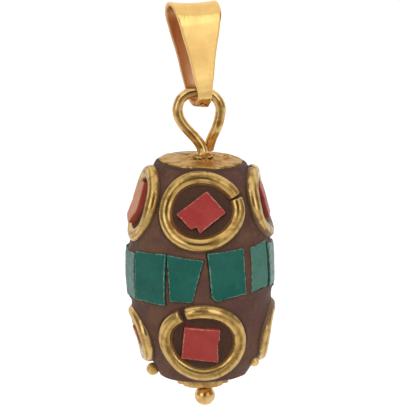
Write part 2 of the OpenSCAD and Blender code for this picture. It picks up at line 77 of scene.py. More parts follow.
# The bail's point, the middle of the eye's wire that hangs in it, and the eye's radius there
POINT_Z = BAIL_SHEET - BAIL_HEIGHT
HANG_Z = POINT_Z + BAIL_POINT_HEIGHT
EYE_R = (EYE_WIDTH - WIRE) / 2

# Rings from the front to the right, back and left: azimuth, height as a share of the largest ring,
# width as a share of its own height, the angle and width share of the opening in the wire, and how
# much deeper the side towards the belt is pressed in
UPPER_RINGS = [(0.7, 1, 1.045, 24, 0.3, 0.05), (86, 0.95, 0.98, 96, 0.4, 0.25),
               (181, 0.97, 1, 150, 0.35, 0.1), (-75, 0.94, 0.82, 182, 0.3, 0.38)]
LOWER_RINGS = [(0, 1, 1.035, 118, 0.5, 0.05), (95, 0.78, 1, 60, 0.35, 0.2),
               (180, 0.9, 1, 80, 0.4, 0.1), (-82, 0.71, 1, 130, 0.35, 0.3)]
SIDES = ("front", "right", "back", "left")

# Corners of the coral chips, across and up, as shares of the room inside their ring
DIAMOND = [(0.1, 0.42), (0.51, -0.06), (-0.03, -0.5), (-0.11, -0.36), (-0.23, -0.41),
           (-0.55, -0.07)]
SQUARE = [(-0.35, 0.41), (0.38, 0.33), (0.355, 0.11), (0.305, 0.03), (0.29, -0.42), (-0.47, -0.31)]
SLAB = [(-0.3, 0.44), (0.27, 0.4), (0.31, -0.41), (-0.25, -0.44)]
KITE = [(0.02, 0.44), (0.4, 0.06), (0.05, -0.42), (-0.41, -0.04)]
TABLET = [(-0.4, 0.7), (0.3, 0.8), (0.38, -0.2), (-0.1, -0.8), (-0.6, -0.6)]
UPPER_CORALS = [DIAMOND, SLAB, KITE, TABLET]
LOWER_CORALS = [SQUARE, KITE, SLAB, KITE]

# Azimuths of the joints between the turquoise chips, and the corners of each chip as shares of half
# of its width and height
BELT_JOINTS = [-93.5, -60.5, -26.9, 4.2, 39.9, 66.3, 99, 132.5, 166.5, 200, 233.5, 266.5]
BELT_SHARES = [
    [(-0.96, 0.75), (1, 0.78), (0.97, -1.09), (-0.9, -1.2)],
    [(-0.97, 0.89), (1, 0.95), (0.88, -1.12), (0.43, -1.17), (-1, -1.09)],
    [(-1, 0.93), (0.93, 0.73), (0.31, -1), (-0.88, -0.96)],
    [(-0.93, 1), (0.79, 1.1), (0.87, -0.76), (-0.55, -0.97), (-0.79, -0.75)],
    [(-0.71, 1.07), (0.91, 1.2), (0.94, -0.67), (-0.78, -0.78)],
    [(-0.94, 1.05), (0.96, 0.89), (0.92, -0.87), (-0.96, -0.71)],
    [(-0.94, 0.91), (0.93, 0.85), (0.9, -0.97), (-0.96, -1.03)],
    [(-0.95, 0.87), (0.9, 0.93), (0.95, -0.87), (-0.88, -0.93)],
    [(-0.9, 0.85), (0.95, 0.89), (0.91, -0.95), (-0.94, -0.85)],
    [(-0.94, 0.95), (0.93, 0.87), (0.95, -0.99), (-0.9, -1.05)],
    [(-0.92, 0.85), (0.96, 0.83), (0.9, -0.93), (-0.97, -0.87)],
]

# How much paler than the rest a stone is, up to 1: partly its own tone and partly a painted
# sheen on faces seen edge-on at the sides. Also how much higher than the rest a coral stands
CORAL_PALE = {("upper", "front"): 0, ("upper", "left"): 0.95,
              ("lower", "front"): 0.02, ("lower", "left"): 0.9}
CORAL_LIFT = {("upper", "left"): 0.13, ("upper", "right"): -0.2, ("lower", "front"): -0.14}
BELT_PALE = [0.05, 0, 0, 0, 0.33, 0.1, 0, 0.15, 0.05, 0.2, 0.1]

# Granules: azimuth, drop below the middle as a share of half of the core, size as a share, and how
# far the middle stands out as a share of the radius
GRANULES = [("front_left", -83, 0.88, 1.06, 0.6), ("front_right", 69, 0.81, 0.86, 0.35),
            ("back_right", 122, 0.86, 0.92, 0.3), ("back_left", -130, 0.86, 0.88, 0.3)]

# Widths of the caps going round, as shares
TOP_RIM = [1, 1, 0.98, 1.01, 1, 1.01, 0.98, 1, 1.01, 0.99, 1.01, 1,
           1.02, 1, 0.98, 1, 1.01, 0.99, 0.97, 1, 1.01, 1, 0.98, 1.01]
BOTTOM_RIM = [1, 0.9, 1.02, 0.94, 0.86, 0.98, 1.04, 0.92, 1, 0.88, 0.96, 1.03, 0.9, 1, 0.95, 0.87]

# The bail's leaf from the point up: share of the height, and of its greatest depth and width
BAIL_LEAF = [
    (0, 0.02, 0.28), (0.008, 0.24, 0.285), (0.03, 0.48, 0.285), (0.06, 0.71, 0.285),
    (0.1, 0.88, 0.29), (0.145, 0.96, 0.3), (0.2, 0.975, 0.33), (0.27, 0.98, 0.39),
    (0.35, 0.98, 0.455), (0.44, 0.985, 0.515), (0.53, 0.99, 0.59), (0.62, 0.995, 0.68),
    (0.71, 1, 0.775), (0.78, 1, 0.83),
]

# How the hand-rolled bead departs from a true barrel
BELLY_SHIFT, FOOT_SHIFT, FOOT_TAPER, FOOT_LIFT = 0.24, 0.16, 0.035, 0.42
TOP_SLOPE_RIGHT, TOP_SLOPE_BACK = -0.045, 0.025


def side_r(z):
    """Radius of the barrel at a height above the middle of the bead."""
    return ARC_X + sqrt(ARC_R ** 2 - (z - BELLY_RISE) ** 2)


def side_tilt(z):
    """Angle by which the barrel's side faces up there."""
    return asin((z - BELLY_RISE) / ARC_R)


def ring_room(low, high):
    """Middle height and outer radius of the largest ring that fits between two heights."""
    z = (low + high) / 2
    by_height = (high - low) / 2 / cos(side_tilt(z))
    by_width = (side_r(z) + RING_LIFT) * sin(RING_HALF_TURN)
    return z, min(by_height, by_width)


UPPER_Z, UPPER_REACH = ring_room(BELT_RISE + BELT_HEIGHT / 2 + RING_GAP,
                                 CORE_LENGTH / 2 - UPPER_RIM)
LOWER_Z, LOWER_REACH = ring_room(LOWER_RIM - CORE_LENGTH / 2,
                                 BELT_RISE - BELT_HEIGHT / 2 - RING_GAP)


def ramp(value, low, high):
    """0 below low, 1 above high and smooth between them."""
    t = min(max((value - low) / (high - low), 0), 1)
    return t * t * (3 - 2 * t)


def line(value, at, width):
    """1 where a value is right there, fading to 0 over that width."""
    return exp(-((value - at) / width) ** 2)


def pressed(point):
    """The place in the model of a point on the true barrel. The belly lies a little to the left,
    the top slopes down to the right, and the foot is narrower, further left and drawn up."""
    x, y, z = point
    top, foot, foot_end = ramp(z, 8.5, 11.2), ramp(-z, 8.6, 11.3), ramp(-z, 10.6, 11.3)
    belly = 1 - ramp(abs(z), 3.5, 8.5)
    x, y = x * (1 - FOOT_TAPER * foot), y * (1 - FOOT_TAPER * foot)
    x -= BELLY_SHIFT * belly + FOOT_SHIFT * foot
    z += top * (TOP_SLOPE_RIGHT * x + TOP_SLOPE_BACK * y) + FOOT_LIFT * foot * foot_end
    return Vector((x, y, z)) + BEAD


def turned(point, azimuth):
    """A point or direction at the front, turned round the bead to an azimuth in degrees."""
    return Matrix.Rotation(radians(azimuth), 3, "Z") @ Vector(point)


def on_side(azimuth, z):
    """A place on the barrel's side, with the directions round the bead, up it and out of it."""
    tilt = side_tilt(z)
    return (turned((0, -side_r(z), z), azimuth), turned((1, 0, 0), azimuth),
            turned((0, sin(tilt), cos(tilt)), azimuth), turned((0, -cos(tilt), sin(tilt)), azimuth))


def grain(point, size, seed):
    """Smooth irregularity between -1 and 1 with lumps of that size in millimetres."""
    return noise.noise(Vector(point) / size + Vector((seed, 7.3 * seed, -3.1 * seed)))


def rough(point, size, seed):
    """The same in four sizes, each half the last."""
    return noise.fractal(Vector(point) / size + Vector((seed, 7.3 * seed, -3.1 * seed)),
                         0.9, 2.0, 4)


# Meshes


def make_piece(name, points, faces, finish, node, body, marks, sharp=50):
    """A mesh in place of a node of the model, riding on its body. Marks are numbers at its points
    that its finish reads, and edges bent by more than the sharp angle stay crisp."""
    mesh = bpy.data.meshes.new(name)
    mesh.from_pydata([Vector(p) * MM for p in points], [], faces)
    work = bmesh.new()
    work.from_mesh(mesh)
    bmesh.ops.recalc_face_normals(work, faces=work.faces)
    work.to_mesh(mesh)
    work.free()
    for label, values in marks.items():
        mesh.attributes.new(label, "FLOAT", "POINT").data.foreach_set("value", values)
    mesh.shade_smooth()
    mesh.set_sharp_from_angle(angle=radians(sharp))
    mesh.materials.append(finish)
    piece = bpy.data.objects.new(name, mesh)
    bpy.context.scene.collection.objects.link(piece)
    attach(piece, body)
    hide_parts(node)


def skin(sections, closed=False):
    """Faces over a row of equal loops of points, closed up into a ring or capped at both ends."""
    rows, count = len(sections), len(sections[0])
    points = [p for loop in sections for p in loop]
    faces = []
    for i in range(rows if closed else rows - 1):
        j = (i + 1) % rows
        for k in range(count):
            n = (k + 1) % count
            faces.append((i * count + k, i * count + n, j * count + n, j * count + k))
    if not closed:
        for row, centre in ((0, len(points)), (rows - 1, len(points) + 1)):
            points.append(sum(sections[row], Vector()) / count)
            for k in range(count):
                faces.append((row * count + k, row * count + (k + 1) % count, centre))
    return points, faces


def wire_loops(route, sides, radii, count, dent, dent_size, seed):
    """Round loops of wire along a route, square to it, with shallow dents."""
    loops = []
    for i, place in enumerate(route):
        run = (route[min(i + 1, len(route) - 1)] - route[max(i - 1, 0)]).normalized()
        u = (sides[i] - sides[i].dot(run) * run).normalized()
        v = run.cross(u)
        loop = []
        for k in range(count):
            ray = cos(2 * pi * k / count) * u + sin(2 * pi * k / count) * v
            r = radii[i] + dent * grain(place + radii[i] * ray, dent_size, seed)
            loop.append(place + r * ray)
        loops.append(loop)
    return loops


def cut_end(loops, round_off=0.12):
    """Rounds both cut ends of a wire with three smaller loops."""
    ended = list(loops)
    for last, before, at in ((loops[0], loops[1], 0), (loops[-1], loops[-2], 1)):
        middle = sum(last, Vector()) / len(last)
        run = (middle - sum(before, Vector()) / len(before)).normalized()
        for share, reach in ((0.97, 0.35), (0.9, 0.7), (0.78, 0.95)):
            loop = [middle + (p - middle) * share + run * round_off * reach for p in last]
            if at:
                ended.append(loop)
            else:
                ended.insert(0, loop)
    return ended


# Materials


def colour(text):
    """An sRGB hex value as linear red, green, blue and 1."""
    parts = [int(text[i:i + 2], 16) / 255 for i in (1, 3, 5)]
    return [p / 12.92 if p <= 0.04045 else ((p + 0.055) / 1.055) ** 2.4 for p in parts] + [1]


def per_mm(size):
    """Texture scale at which a pattern repeats in that many millimetres."""
    return 1000 / size


# What all nodes of a kind share here: settings, inputs, and the output that is used
USUAL = {
    "TexNoise": ({}, {"Detail": 3, "Roughness": 0.55}, 0),
    "MapRange": ({"interpolation_type": "SMOOTHSTEP"}, {}, 0),
    "Mix": ({"data_type": "RGBA"}, {}, 2),
    "Attribute": ({}, {}, "Fac"),
}


def put(tree, kind, inputs=(), out=None, **settings):
    """Adds a node with its settings. Its inputs, in order or by name, take values or other nodes'
    outputs, and the output that is wanted comes back."""
    usual_settings, usual_inputs, usual_out = USUAL.get(kind, ({}, {}, 0))
    node = tree.nodes.new("ShaderNode" + kind)
    for name, value in {**usual_settings, **settings}.items():
        setattr(node, name, value)
    given = inputs if isinstance(inputs, dict) else dict(enumerate(inputs))
    for name, value in {**usual_inputs, **given}.items():
        if isinstance(value, bpy.types.NodeSocket):
            tree.links.new(value, node.inputs[name])
        else:
            node.inputs[name].default_value = value
    return node.outputs[usual_out if out is None else out] if node.outputs else None


def bare_finish(name):
    """A material without nodes yet, and the place on the object that its patterns follow."""
    finish = bpy.data.materials.new(name)
    finish.use_nodes = True
    tree = finish.node_tree
    tree.nodes.clear()
    return finish, tree, put(tree, "TexCoord", out="Object")


def gilt_brass():
    """Gold-plated brass strip, pressed and polished by hand: warm yellow, with soft dents in its
    gleam, faint polishing lines along the strip and specks of brown in the solder at its point.
    The real lines are too fine to show, so they are set 0.16 mm apart."""
    finish, tree, place = bare_finish("gilt_brass")
    solder = put(tree, "Attribute", attribute_name="solder")
    inside = put(tree, "Attribute", attribute_name="inside")
    cloud = put(tree, "TexNoise", {"Vector": place, "Scale": per_mm(2.4)})
    cloud = put(tree, "MapRange", (cloud, 0.35, 0.65))
    gold = put(tree, "Mix", {0: cloud, 6: colour("#fbd285"), 7: colour("#f4c577")})
    specks = put(tree, "TexNoise", {"Vector": place, "Scale": per_mm(0.3)})
    specks = put(tree, "MapRange", (specks, 0.42, 0.56))
    filled = put(tree, "MapRange", (solder, 0.3, 0.7))
    specks = put(tree, "Math", (filled, specks), operation="MULTIPLY")
    gold = put(tree, "Mix", {0: specks, 6: gold, 7: colour("#8a4c22")})
    gold = put(tree, "Mix", {0: inside, 6: gold, 7: colour("#dcab7e")})
    lines = put(tree, "Mapping", {"Vector": place, "Scale": (1, 1, 0.06)})
    polish = put(tree, "TexNoise", {"Vector": lines, "Scale": per_mm(0.16), "Detail": 2})
    gloss = put(tree, "MapRange", (polish, 0.3, 0.7, 0.17, 0.25))
    matt = put(tree, "MapRange", (solder, 0.2, 0.8, 0, 0.3))
    gloss = put(tree, "Math", (gloss, matt), operation="ADD")
    unpolished = put(tree, "Math", (inside, 0.12), operation="MULTIPLY")
    gloss = put(tree, "Math", (gloss, unpolished), operation="ADD")
    dents = put(tree, "TexNoise", {"Vector": place, "Scale": per_mm(1.3)})
    relief = put(tree, "Math", (polish, dents), operation="ADD")
    relief = put(tree, "Bump", {"Distance": 0.012 * MM, "Height": relief})
    shader = put(tree, "BsdfPrincipled", {"Base Color": gold, "Metallic": 1, "Roughness": gloss,
                                          "Normal": relief})
    put(tree, "OutputMaterial", {"Surface": shader})
    return finish


def brass_wire(name, bright, dull, roughness):
    """Drawn brass wire, bent, polished and a little tarnished: a bright skin that browns in
    patches, a painted dark reflection along its crest lanes, painted pale highlights beside them,
    and brown dirt where the wire sits in the lac."""
    finish, tree, place = bare_finish(name)
    grime = put(tree, "Attribute", attribute_name="grime")
    crest = put(tree, "Attribute", attribute_name="crest")
    painted_highlight = put(tree, "Attribute", attribute_name="painted_highlight")
    tarnish = put(tree, "TexNoise", {"Vector": place, "Scale": per_mm(0.9), "Detail": 5})
    tarnish = put(tree, "MapRange", (tarnish, 0.42, 0.68))
    metal = put(tree, "Mix", {0: tarnish, 6: colour(bright), 7: colour(dull)})
    # Painted dark reflection along the crest lanes
    dark_reflection = put(tree, "MapRange", (tarnish, 0, 1, 0.75, 1))
    dark_reflection = put(tree, "Math", (crest, dark_reflection), operation="MULTIPLY")
    metal = put(tree, "Mix", {0: dark_reflection, 6: metal, 7: colour("#7c5d2a")})
    # Painted pale highlights beside the crest, along the rim and at the cut ends
    highlight_share = put(tree, "MapRange", (tarnish, 0, 1, 0.85, 0.5))
    highlight_share = put(tree, "Math", (painted_highlight, highlight_share), operation="MULTIPLY")
    metal = put(tree, "Mix", {0: highlight_share, 6: metal, 7: colour("#ecca8a")})
    dirt = put(tree, "Math", (tarnish, 0.2), operation="MULTIPLY")
    dirt = put(tree, "Math", (grime, dirt), operation="ADD")
    dirt = put(tree, "MapRange", (dirt, 0.25, 0.85))
    metal = put(tree, "Mix", {0: dirt, 6: metal, 7: colour("#7a5a36")})
    gloss = put(tree, "MapRange", (tarnish, 0, 1, roughness - 0.05, roughness + 0.08))
    matt = put(tree, "MapRange", (dirt, 0, 1, 0, 0.25))
    gloss = put(tree, "Math", (gloss, matt), operation="ADD")
    relief = put(tree, "TexNoise", {"Vector": place, "Scale": per_mm(0.45)})
    relief = put(tree, "Bump", {"Distance": 0.006 * MM, "Height": relief})
    # Dirt is no metal, and the thin tarnish keeps even the clean wire a little under one
    metallic = put(tree, "MapRange", (dirt, 0, 0.8, 0.84, 0))
    shader = put(tree, "BsdfPrincipled", {"Base Color": metal, "Metallic": metallic,
                                          "Roughness": gloss, "Normal": relief})
    put(tree, "OutputMaterial", {"Surface": shader})
    return finish


def sheet_brass():
    """Thin brass sheet, hammered down over the ends and left rough: dull, dented, blotched brown
    and dirty along its rim."""
    finish, tree, place = bare_finish("hammered_sheet_brass")
    grime = put(tree, "Attribute", attribute_name="grime")
    blotch = put(tree, "TexNoise", {"Vector": place, "Scale": per_mm(1.1), "Detail": 5,
                                    "Roughness": 0.6})
    blotch = put(tree, "MapRange", (blotch, 0.4, 0.66))
    metal = put(tree, "Mix", {0: blotch, 6: colour("#d1a868"), 7: colour("#ac8449")})
    dirt = put(tree, "Math", (blotch, 0.3), operation="MULTIPLY")
    dirt = put(tree, "Math", (grime, dirt), operation="ADD")
    dirt = put(tree, "MapRange", (dirt, 0.4, 1.1))
    metal = put(tree, "Mix", {0: dirt, 6: metal, 7: colour("#665030")})
    metallic = put(tree, "MapRange", (dirt, 0, 1, 1, 0.5))
    gloss = put(tree, "MapRange", (blotch, 0, 1, 0.3, 0.42))
    relief = put(tree, "TexNoise", {"Vector": place, "Scale": per_mm(0.5), "Detail": 4})
    relief = put(tree, "Bump", {"Distance": 0.025 * MM, "Height": relief})
    shader = put(tree, "BsdfPrincipled", {"Base Color": metal, "Metallic": metallic,
                                          "Roughness": gloss, "Normal": relief,
                                          "Specular Tint": colour("#f0e2d0")})
    put(tree, "OutputMaterial", {"Surface": shader})
    return finish


def lac_resin():
    """Lac, a natural resin filled with powdered brick and pressed on warm: matt brown with plum and
    tan smears and gritty, darker with a painted shade inside the rings, along the wires' feet,
    round the chips and under the top cap. The powder is finer than a pixel, so its grit is made
    0.22 mm coarse."""
    finish, tree, place = bare_finish("pressed_lac")
    deep = put(tree, "Attribute", attribute_name="deep")
    cloud = put(tree, "TexNoise", {"Vector": place, "Scale": per_mm(2.6), "Detail": 4})
    cloud = put(tree, "MapRange", (cloud, 0.36, 0.64))
    body = put(tree, "Mix", {0: cloud, 6: colour("#604236"), 7: colour("#755443")})
    plum = put(tree, "TexNoise", {"Vector": place, "Scale": per_mm(3.4)})
    plum = put(tree, "MapRange", (plum, 0.48, 0.66, 0, 0.6))
    body = put(tree, "Mix", {0: plum, 6: body, 7: colour("#644343")})
    tan_smear = put(tree, "TexNoise", {"Vector": place, "Scale": per_mm(1.1)})
    tan_smear = put(tree, "MapRange", (tan_smear, 0.55, 0.8, 0, 0.7))
    body = put(tree, "Mix", {0: tan_smear, 6: body, 7: colour("#7c5c42")})
    grit = put(tree, "TexNoise", {"Vector": place, "Scale": per_mm(0.22), "Detail": 4,
                                  "Roughness": 0.65})
    grit = put(tree, "MapRange", (grit, 0.56, 0.7, 0, 0.6))
    body = put(tree, "Mix", {0: grit, 6: body, 7: colour("#8f6d50")})
    # Painted shade: darker inside the rings, along the wires' feet, round the chips and under the
    # top cap
    shade = put(tree, "MapRange", (deep, 0.05, 0.9, 0, 0.85))
    body = put(tree, "Mix", {0: shade, 6: body, 7: colour("#533a2d")})
    gloss = put(tree, "MapRange", (cloud, 0, 1, 0.5, 0.66))
    pores = put(tree, "TexNoise", {"Vector": place, "Scale": per_mm(0.5), "Detail": 6,
                                   "Roughness": 0.6})
    relief = put(tree, "Math", (grit, 0.6), operation="MULTIPLY")
    relief = put(tree, "Math", (pores, relief), operation="ADD")
    relief = put(tree, "Bump", {"Distance": 0.07 * MM, "Height": relief})
    shader = put(tree, "BsdfPrincipled", {"Base Color": body, "Metallic": 0, "Roughness": gloss,
                                          "IOR": 1.5, "Specular IOR Level": 0.12,
                                          "Normal": relief})
    put(tree, "OutputMaterial", {"Surface": shader})
    return finish


def ground_stone(name, tints, pale, vein, edge, roughness, size):
    """A stone chip ground flat on a wheel: satin, cloudy in its own colour, crossed by thin veins,
    paler on some chips in their own tone and with a painted sheen on the faces of those seen
    edge-on, and dusty along its broken edges, where a painted highlight lies too."""
    finish, tree, place = bare_finish(name)
    pale_tone_and_sheen = put(tree, "Attribute", attribute_name="pale")
    chipping_and_highlight = put(tree, "Attribute", attribute_name="edge")
    cloud = put(tree, "TexNoise", {"Vector": place, "Scale": per_mm(size), "Detail": 4})
    cloud = put(tree, "MapRange", (cloud, 0.35, 0.66))
    stone = put(tree, "Mix", {0: cloud, 6: colour(tints[0]), 7: colour(tints[1])})
    spots = put(tree, "TexNoise", {"Vector": place, "Scale": per_mm(size / 4)})
    spots = put(tree, "MapRange", (spots, 0.55, 0.75, 0, 0.6))
    stone = put(tree, "Mix", {0: spots, 6: stone, 7: colour(tints[2])})
    # Paler own tone on some chips, and a painted sheen on faces seen edge-on
    stone = put(tree, "Mix", {0: pale_tone_and_sheen, 6: stone, 7: colour(pale)})
    thread = put(tree, "TexNoise", {"Vector": place, "Scale": per_mm(size * 1.3), "Detail": 5,
                                    "Roughness": 0.62})
    thread = put(tree, "Math", (thread, 0.5), operation="SUBTRACT")
    thread = put(tree, "Math", (thread, 0), operation="ABSOLUTE")
    thread = put(tree, "MapRange", (thread, 0, 0.012, vein[1], 0))
    stone = put(tree, "Mix", {0: thread, 6: stone, 7: colour(vein[0])})
    # Chipping wear along the broken edges, with a painted highlight there too
    dust_and_highlight = put(tree, "TexNoise", {"Vector": place, "Scale": per_mm(0.35)})
    dust_and_highlight = put(tree, "MapRange", (dust_and_highlight, 0.3, 0.7, -0.35, 0.2))
    dust_and_highlight = put(tree, "Math", (chipping_and_highlight, dust_and_highlight), operation="ADD")
    dust_and_highlight = put(tree, "MapRange", (dust_and_highlight, 0.45, 0.95, 0, 0.8))
    stone = put(tree, "Mix", {0: dust_and_highlight, 6: stone, 7: colour(edge)})
    gloss = put(tree, "TexNoise", {"Vector": place, "Scale": per_mm(0.6)})
    gloss = put(tree, "MapRange", (gloss, 0.3, 0.7, roughness - 0.06, roughness + 0.08))
    relief = put(tree, "TexNoise", {"Vector": place, "Scale": per_mm(0.7), "Detail": 5,
                                    "Roughness": 0.6})
    relief = put(tree, "Bump", {"Distance": 0.02 * MM, "Height": relief})
    shader = put(tree, "BsdfPrincipled", {"Base Color": stone, "Metallic": 0, "Roughness": gloss,
                                          "IOR": 1.55, "Specular IOR Level": 0.14,
                                          "Normal": relief})
    put(tree, "OutputMaterial", {"Surface": shader})
    return finish


GILT = gilt_brass()
PIN_WIRE = brass_wire("buffed_pin_wire", "#eac27e", "#c6954f", 0.17)
RING_BRASS = brass_wire("drawn_ring_wire", "#d5ac61", "#a17a3d", 0.2)
GRANULE_BRASS = brass_wire("brass_granule", "#f4d28a", "#d6ac60", 0.48)
CAP_BRASS = sheet_brass()
LAC = lac_resin()
# Pale colours: a paler own tone and a painted sheen; edge colours: chipping wear and a painted
# highlight along the broken edges
CORAL = ground_stone("ground_coral", ("#a93a36", "#af423d", "#b54a43"), "#d89068",
                     ("#8c2f2c", 0.2), "#c98f78", 0.36, 1.6)
TURQUOISE = ground_stone("ground_turquoise", ("#185e52", "#226759", "#2d6e60"), "#78a892",
                         ("#164539", 0.35), "#7c9a86", 0.33, 2.2)


# Lac body


def outline_distance(x, y, corners):
    """Distance of points to a closed outline, negative inside it."""
    best = np.full(x.shape, 1e9)
    inside = np.zeros(x.shape, bool)
    for (ax, ay), (bx, by) in zip(corners, corners[1:] + corners[:1]):
        ex, ey = bx - ax, by - ay
        t = np.clip(((x - ax) * ex + (y - ay) * ey) / (ex * ex + ey * ey), 0, 1)
        best = np.minimum(best, np.hypot(x - ax - t * ex, y - ay - t * ey))
        with np.errstate(divide="ignore", invalid="ignore"):
            inside ^= ((ay > y) != (by > y)) & (x < ex * (y - ay) / ey + ax)
    return np.where(inside, -best, best)


def coral_corners(reach, oval, shares):
    """Corners of a coral in millimetres, from the room that its ring leaves it."""
    width = 2 * (reach * min(1, oval) - RING_WIRE - CORAL_MARGIN)
    return [(x * width, y * width) for x, y in shares]


def belt_place(index):
    """Azimuth of a turquoise chip, and half of the width that its two joints leave it."""
    low, high = BELT_JOINTS[index], BELT_JOINTS[index + 1]
    half = radians(high - low) / 2
    return (low + high) / 2, (CORE_R + BELT_PROUD) * tan(half) - BELT_JOINT / 2 / cos(half)


def belt_corners(index):
    """Corners of a turquoise chip in millimetres, from the room between its joints."""
    return [(x * belt_place(index)[1], y * BELT_HEIGHT / 2) for x, y in BELT_SHARES[index]]


RINGS = [("upper", side, UPPER_Z, UPPER_REACH * row[1], row, shares)
         for side, row, shares in zip(SIDES, UPPER_RINGS, UPPER_CORALS)]
RINGS += [("lower", side, LOWER_Z, LOWER_REACH * row[1], row, shares)
          for side, row, shares in zip(SIDES, LOWER_RINGS, LOWER_CORALS)]


def fading(distance, height, width):
    """A height up to a distance of 0, which fades out over a width beyond it."""
    return height * np.exp(-np.clip(distance, 0, None) / width)


def lac_level(places):
    """How far the lac stands above or below the true barrel: it climbs against wires and chips,
    lies a little lower inside the rings, and keeps clear under what is set in it. Also a painted
    shade that darkens it inside the rings, along the wires' feet and round the chips."""
    wire_foot, under_wire, under_chip, ring_inside = 0.72, 0.6, -0.06, -0.5
    climb = np.zeros(len(places))
    sunk = np.zeros(len(places), bool)
    deep = np.zeros(len(places))
    dish = np.zeros(len(places))
    for _, _, z, reach, (azimuth, _, oval, opening, gap_share, _), shares in RINGS:
        origin, across, up, out = (np.array(v) for v in on_side(azimuth, z))
        rel = places - origin
        x, y, h = rel @ across, rel @ up, rel @ out
        near = h > -3.5
        path_r, path_w = reach - RING_WIRE / 2, reach * oval - RING_WIRE / 2
        round_share = np.hypot(x / path_w, y / path_r)
        slope = np.maximum(np.hypot(x / path_w ** 2, y / path_r ** 2), 1e-6)
        beyond = (round_share - 1) * round_share / slope
        off = np.abs(beyond)
        angle = np.degrees(np.arctan2(y / path_r, x / path_w))
        turn = np.abs((angle - opening + 180) % 360 - 180)
        wire = near & (turn >= degrees(gap_share * RING_WIRE / (2 * path_r)))
        climb = np.where(wire, np.maximum(climb, fading(off - wire_foot, 0.13, 0.2)), climb)
        sunk |= wire & (off < under_wire)
        inner = near & (beyond < ring_inside)
        fall = np.clip((ring_inside - beyond) / 0.8, 0, 1)
        dish = np.where(inner, np.maximum(dish, fall), dish)
        # Painted shade inside the ring and along the wire's foot
        dark = np.where(inner, 0.85, fading(off - wire_foot, 0.9, 0.16))
        deep = np.where(near, np.maximum(deep, dark), deep)
        chip = outline_distance(x, y, coral_corners(reach, oval, shares))
        climb = np.where(near, np.maximum(climb, fading(chip, 0.22, 0.16)), climb)
        sunk |= near & (chip < under_chip)
    for index in range(len(BELT_SHARES)):
        a = radians(belt_place(index)[0])
        x = places[:, 0] * cos(a) + places[:, 1] * sin(a)
        depth = places[:, 0] * sin(a) - places[:, 1] * cos(a)
        chip = outline_distance(x, places[:, 2] - BELT_RISE, belt_corners(index))
        near = depth > 4
        climb = np.where(near, np.maximum(climb, fading(chip, 0.2, 0.2)), climb)
        # Painted shade round the turquoise chip
        deep = np.where(near, np.maximum(deep, fading(chip, 0.9, 0.12)), deep)
        sunk |= near & (chip < under_chip)
    return climb, sunk, deep, dish


def make_lac():
    """The lac from its bore over the flat ends and the hand-pressed side, in one closed skin."""
    count, rows, flat_steps = 460, 280, 9
    half, hole = CORE_LENGTH / 2, TUBE / 2
    foot_edge, top_edge = 0.3, 0.16
    foot_flat, top_flat = side_r(-half) - 0.25 - hole, side_r(half) - 0.3 - hole
    outline = [(hole, -half), (hole + 0.02, -half)]
    outline += [(hole + foot_flat * i / flat_steps, -half) for i in range(1, flat_steps + 1)]
    outline += [(side_r(-half + foot_edge) + foot_edge * (cos(a) - 1),
                 -half + foot_edge * (1 - sin(a))) for a in map(radians, (70, 50, 30, 12))]
    start = len(outline)
    outline += [(side_r(z), z) for z in np.linspace(-half + foot_edge, half - top_edge, rows)]
    stop = len(outline)
    outline += [(side_r(half) - 0.04, half - 0.05), (side_r(half) - top_edge, half)]
    outline += [(hole + top_flat * i / flat_steps, half) for i in range(flat_steps, 0, -1)]
    outline += [(hole, half)]
    angles = np.linspace(0, 2 * pi, count, endpoint=False)
    places = np.array([(r * cos(a), r * sin(a), z) for r, z in outline for a in angles])
    climb, sunk, deep, dish = lac_level(places)
    # Painted shade under the top cap
    under_cap = (stop - 1) * count
    deep[under_cap:] = 0.8
    points = []
    for n, spot in enumerate(places):
        row = n // count
        if start <= row < stop:
            from_end = min(row - start, stop - 1 - row, 12) / 12
            level = 0.075 * rough(spot, 2.2, 3) + 0.035 * rough(spot, 0.6, 8)
            level += from_end * (climb[n] - dish[n] * (0.1 + 0.08 * grain(spot, 0.9, 5)))
            if sunk[n]:
                level = -0.35 * from_end
            lift = 1 + max(level, -0.4) / hypot(spot[0], spot[1])
            points.append(pressed((spot[0] * lift, spot[1] * lift, spot[2])))
        else:
            points.append(pressed(spot))
    loops = [points[i * count:(i + 1) * count] for i in range(len(outline))]
    points, faces = skin(loops, closed=True)
    make_piece("lac_body", points, faces, LAC, "lac_core", "bead", {"deep": deep}, 80)


# Rings


def settled(place, out, lift):
    """A point moved straight in or out until it lies at that lift above the barrel."""
    for _ in range(12):
        off = hypot(hypot(place.x, place.y) - ARC_X, place.z - BELLY_RISE) - ARC_R - lift
        place = place - off * out
    return place


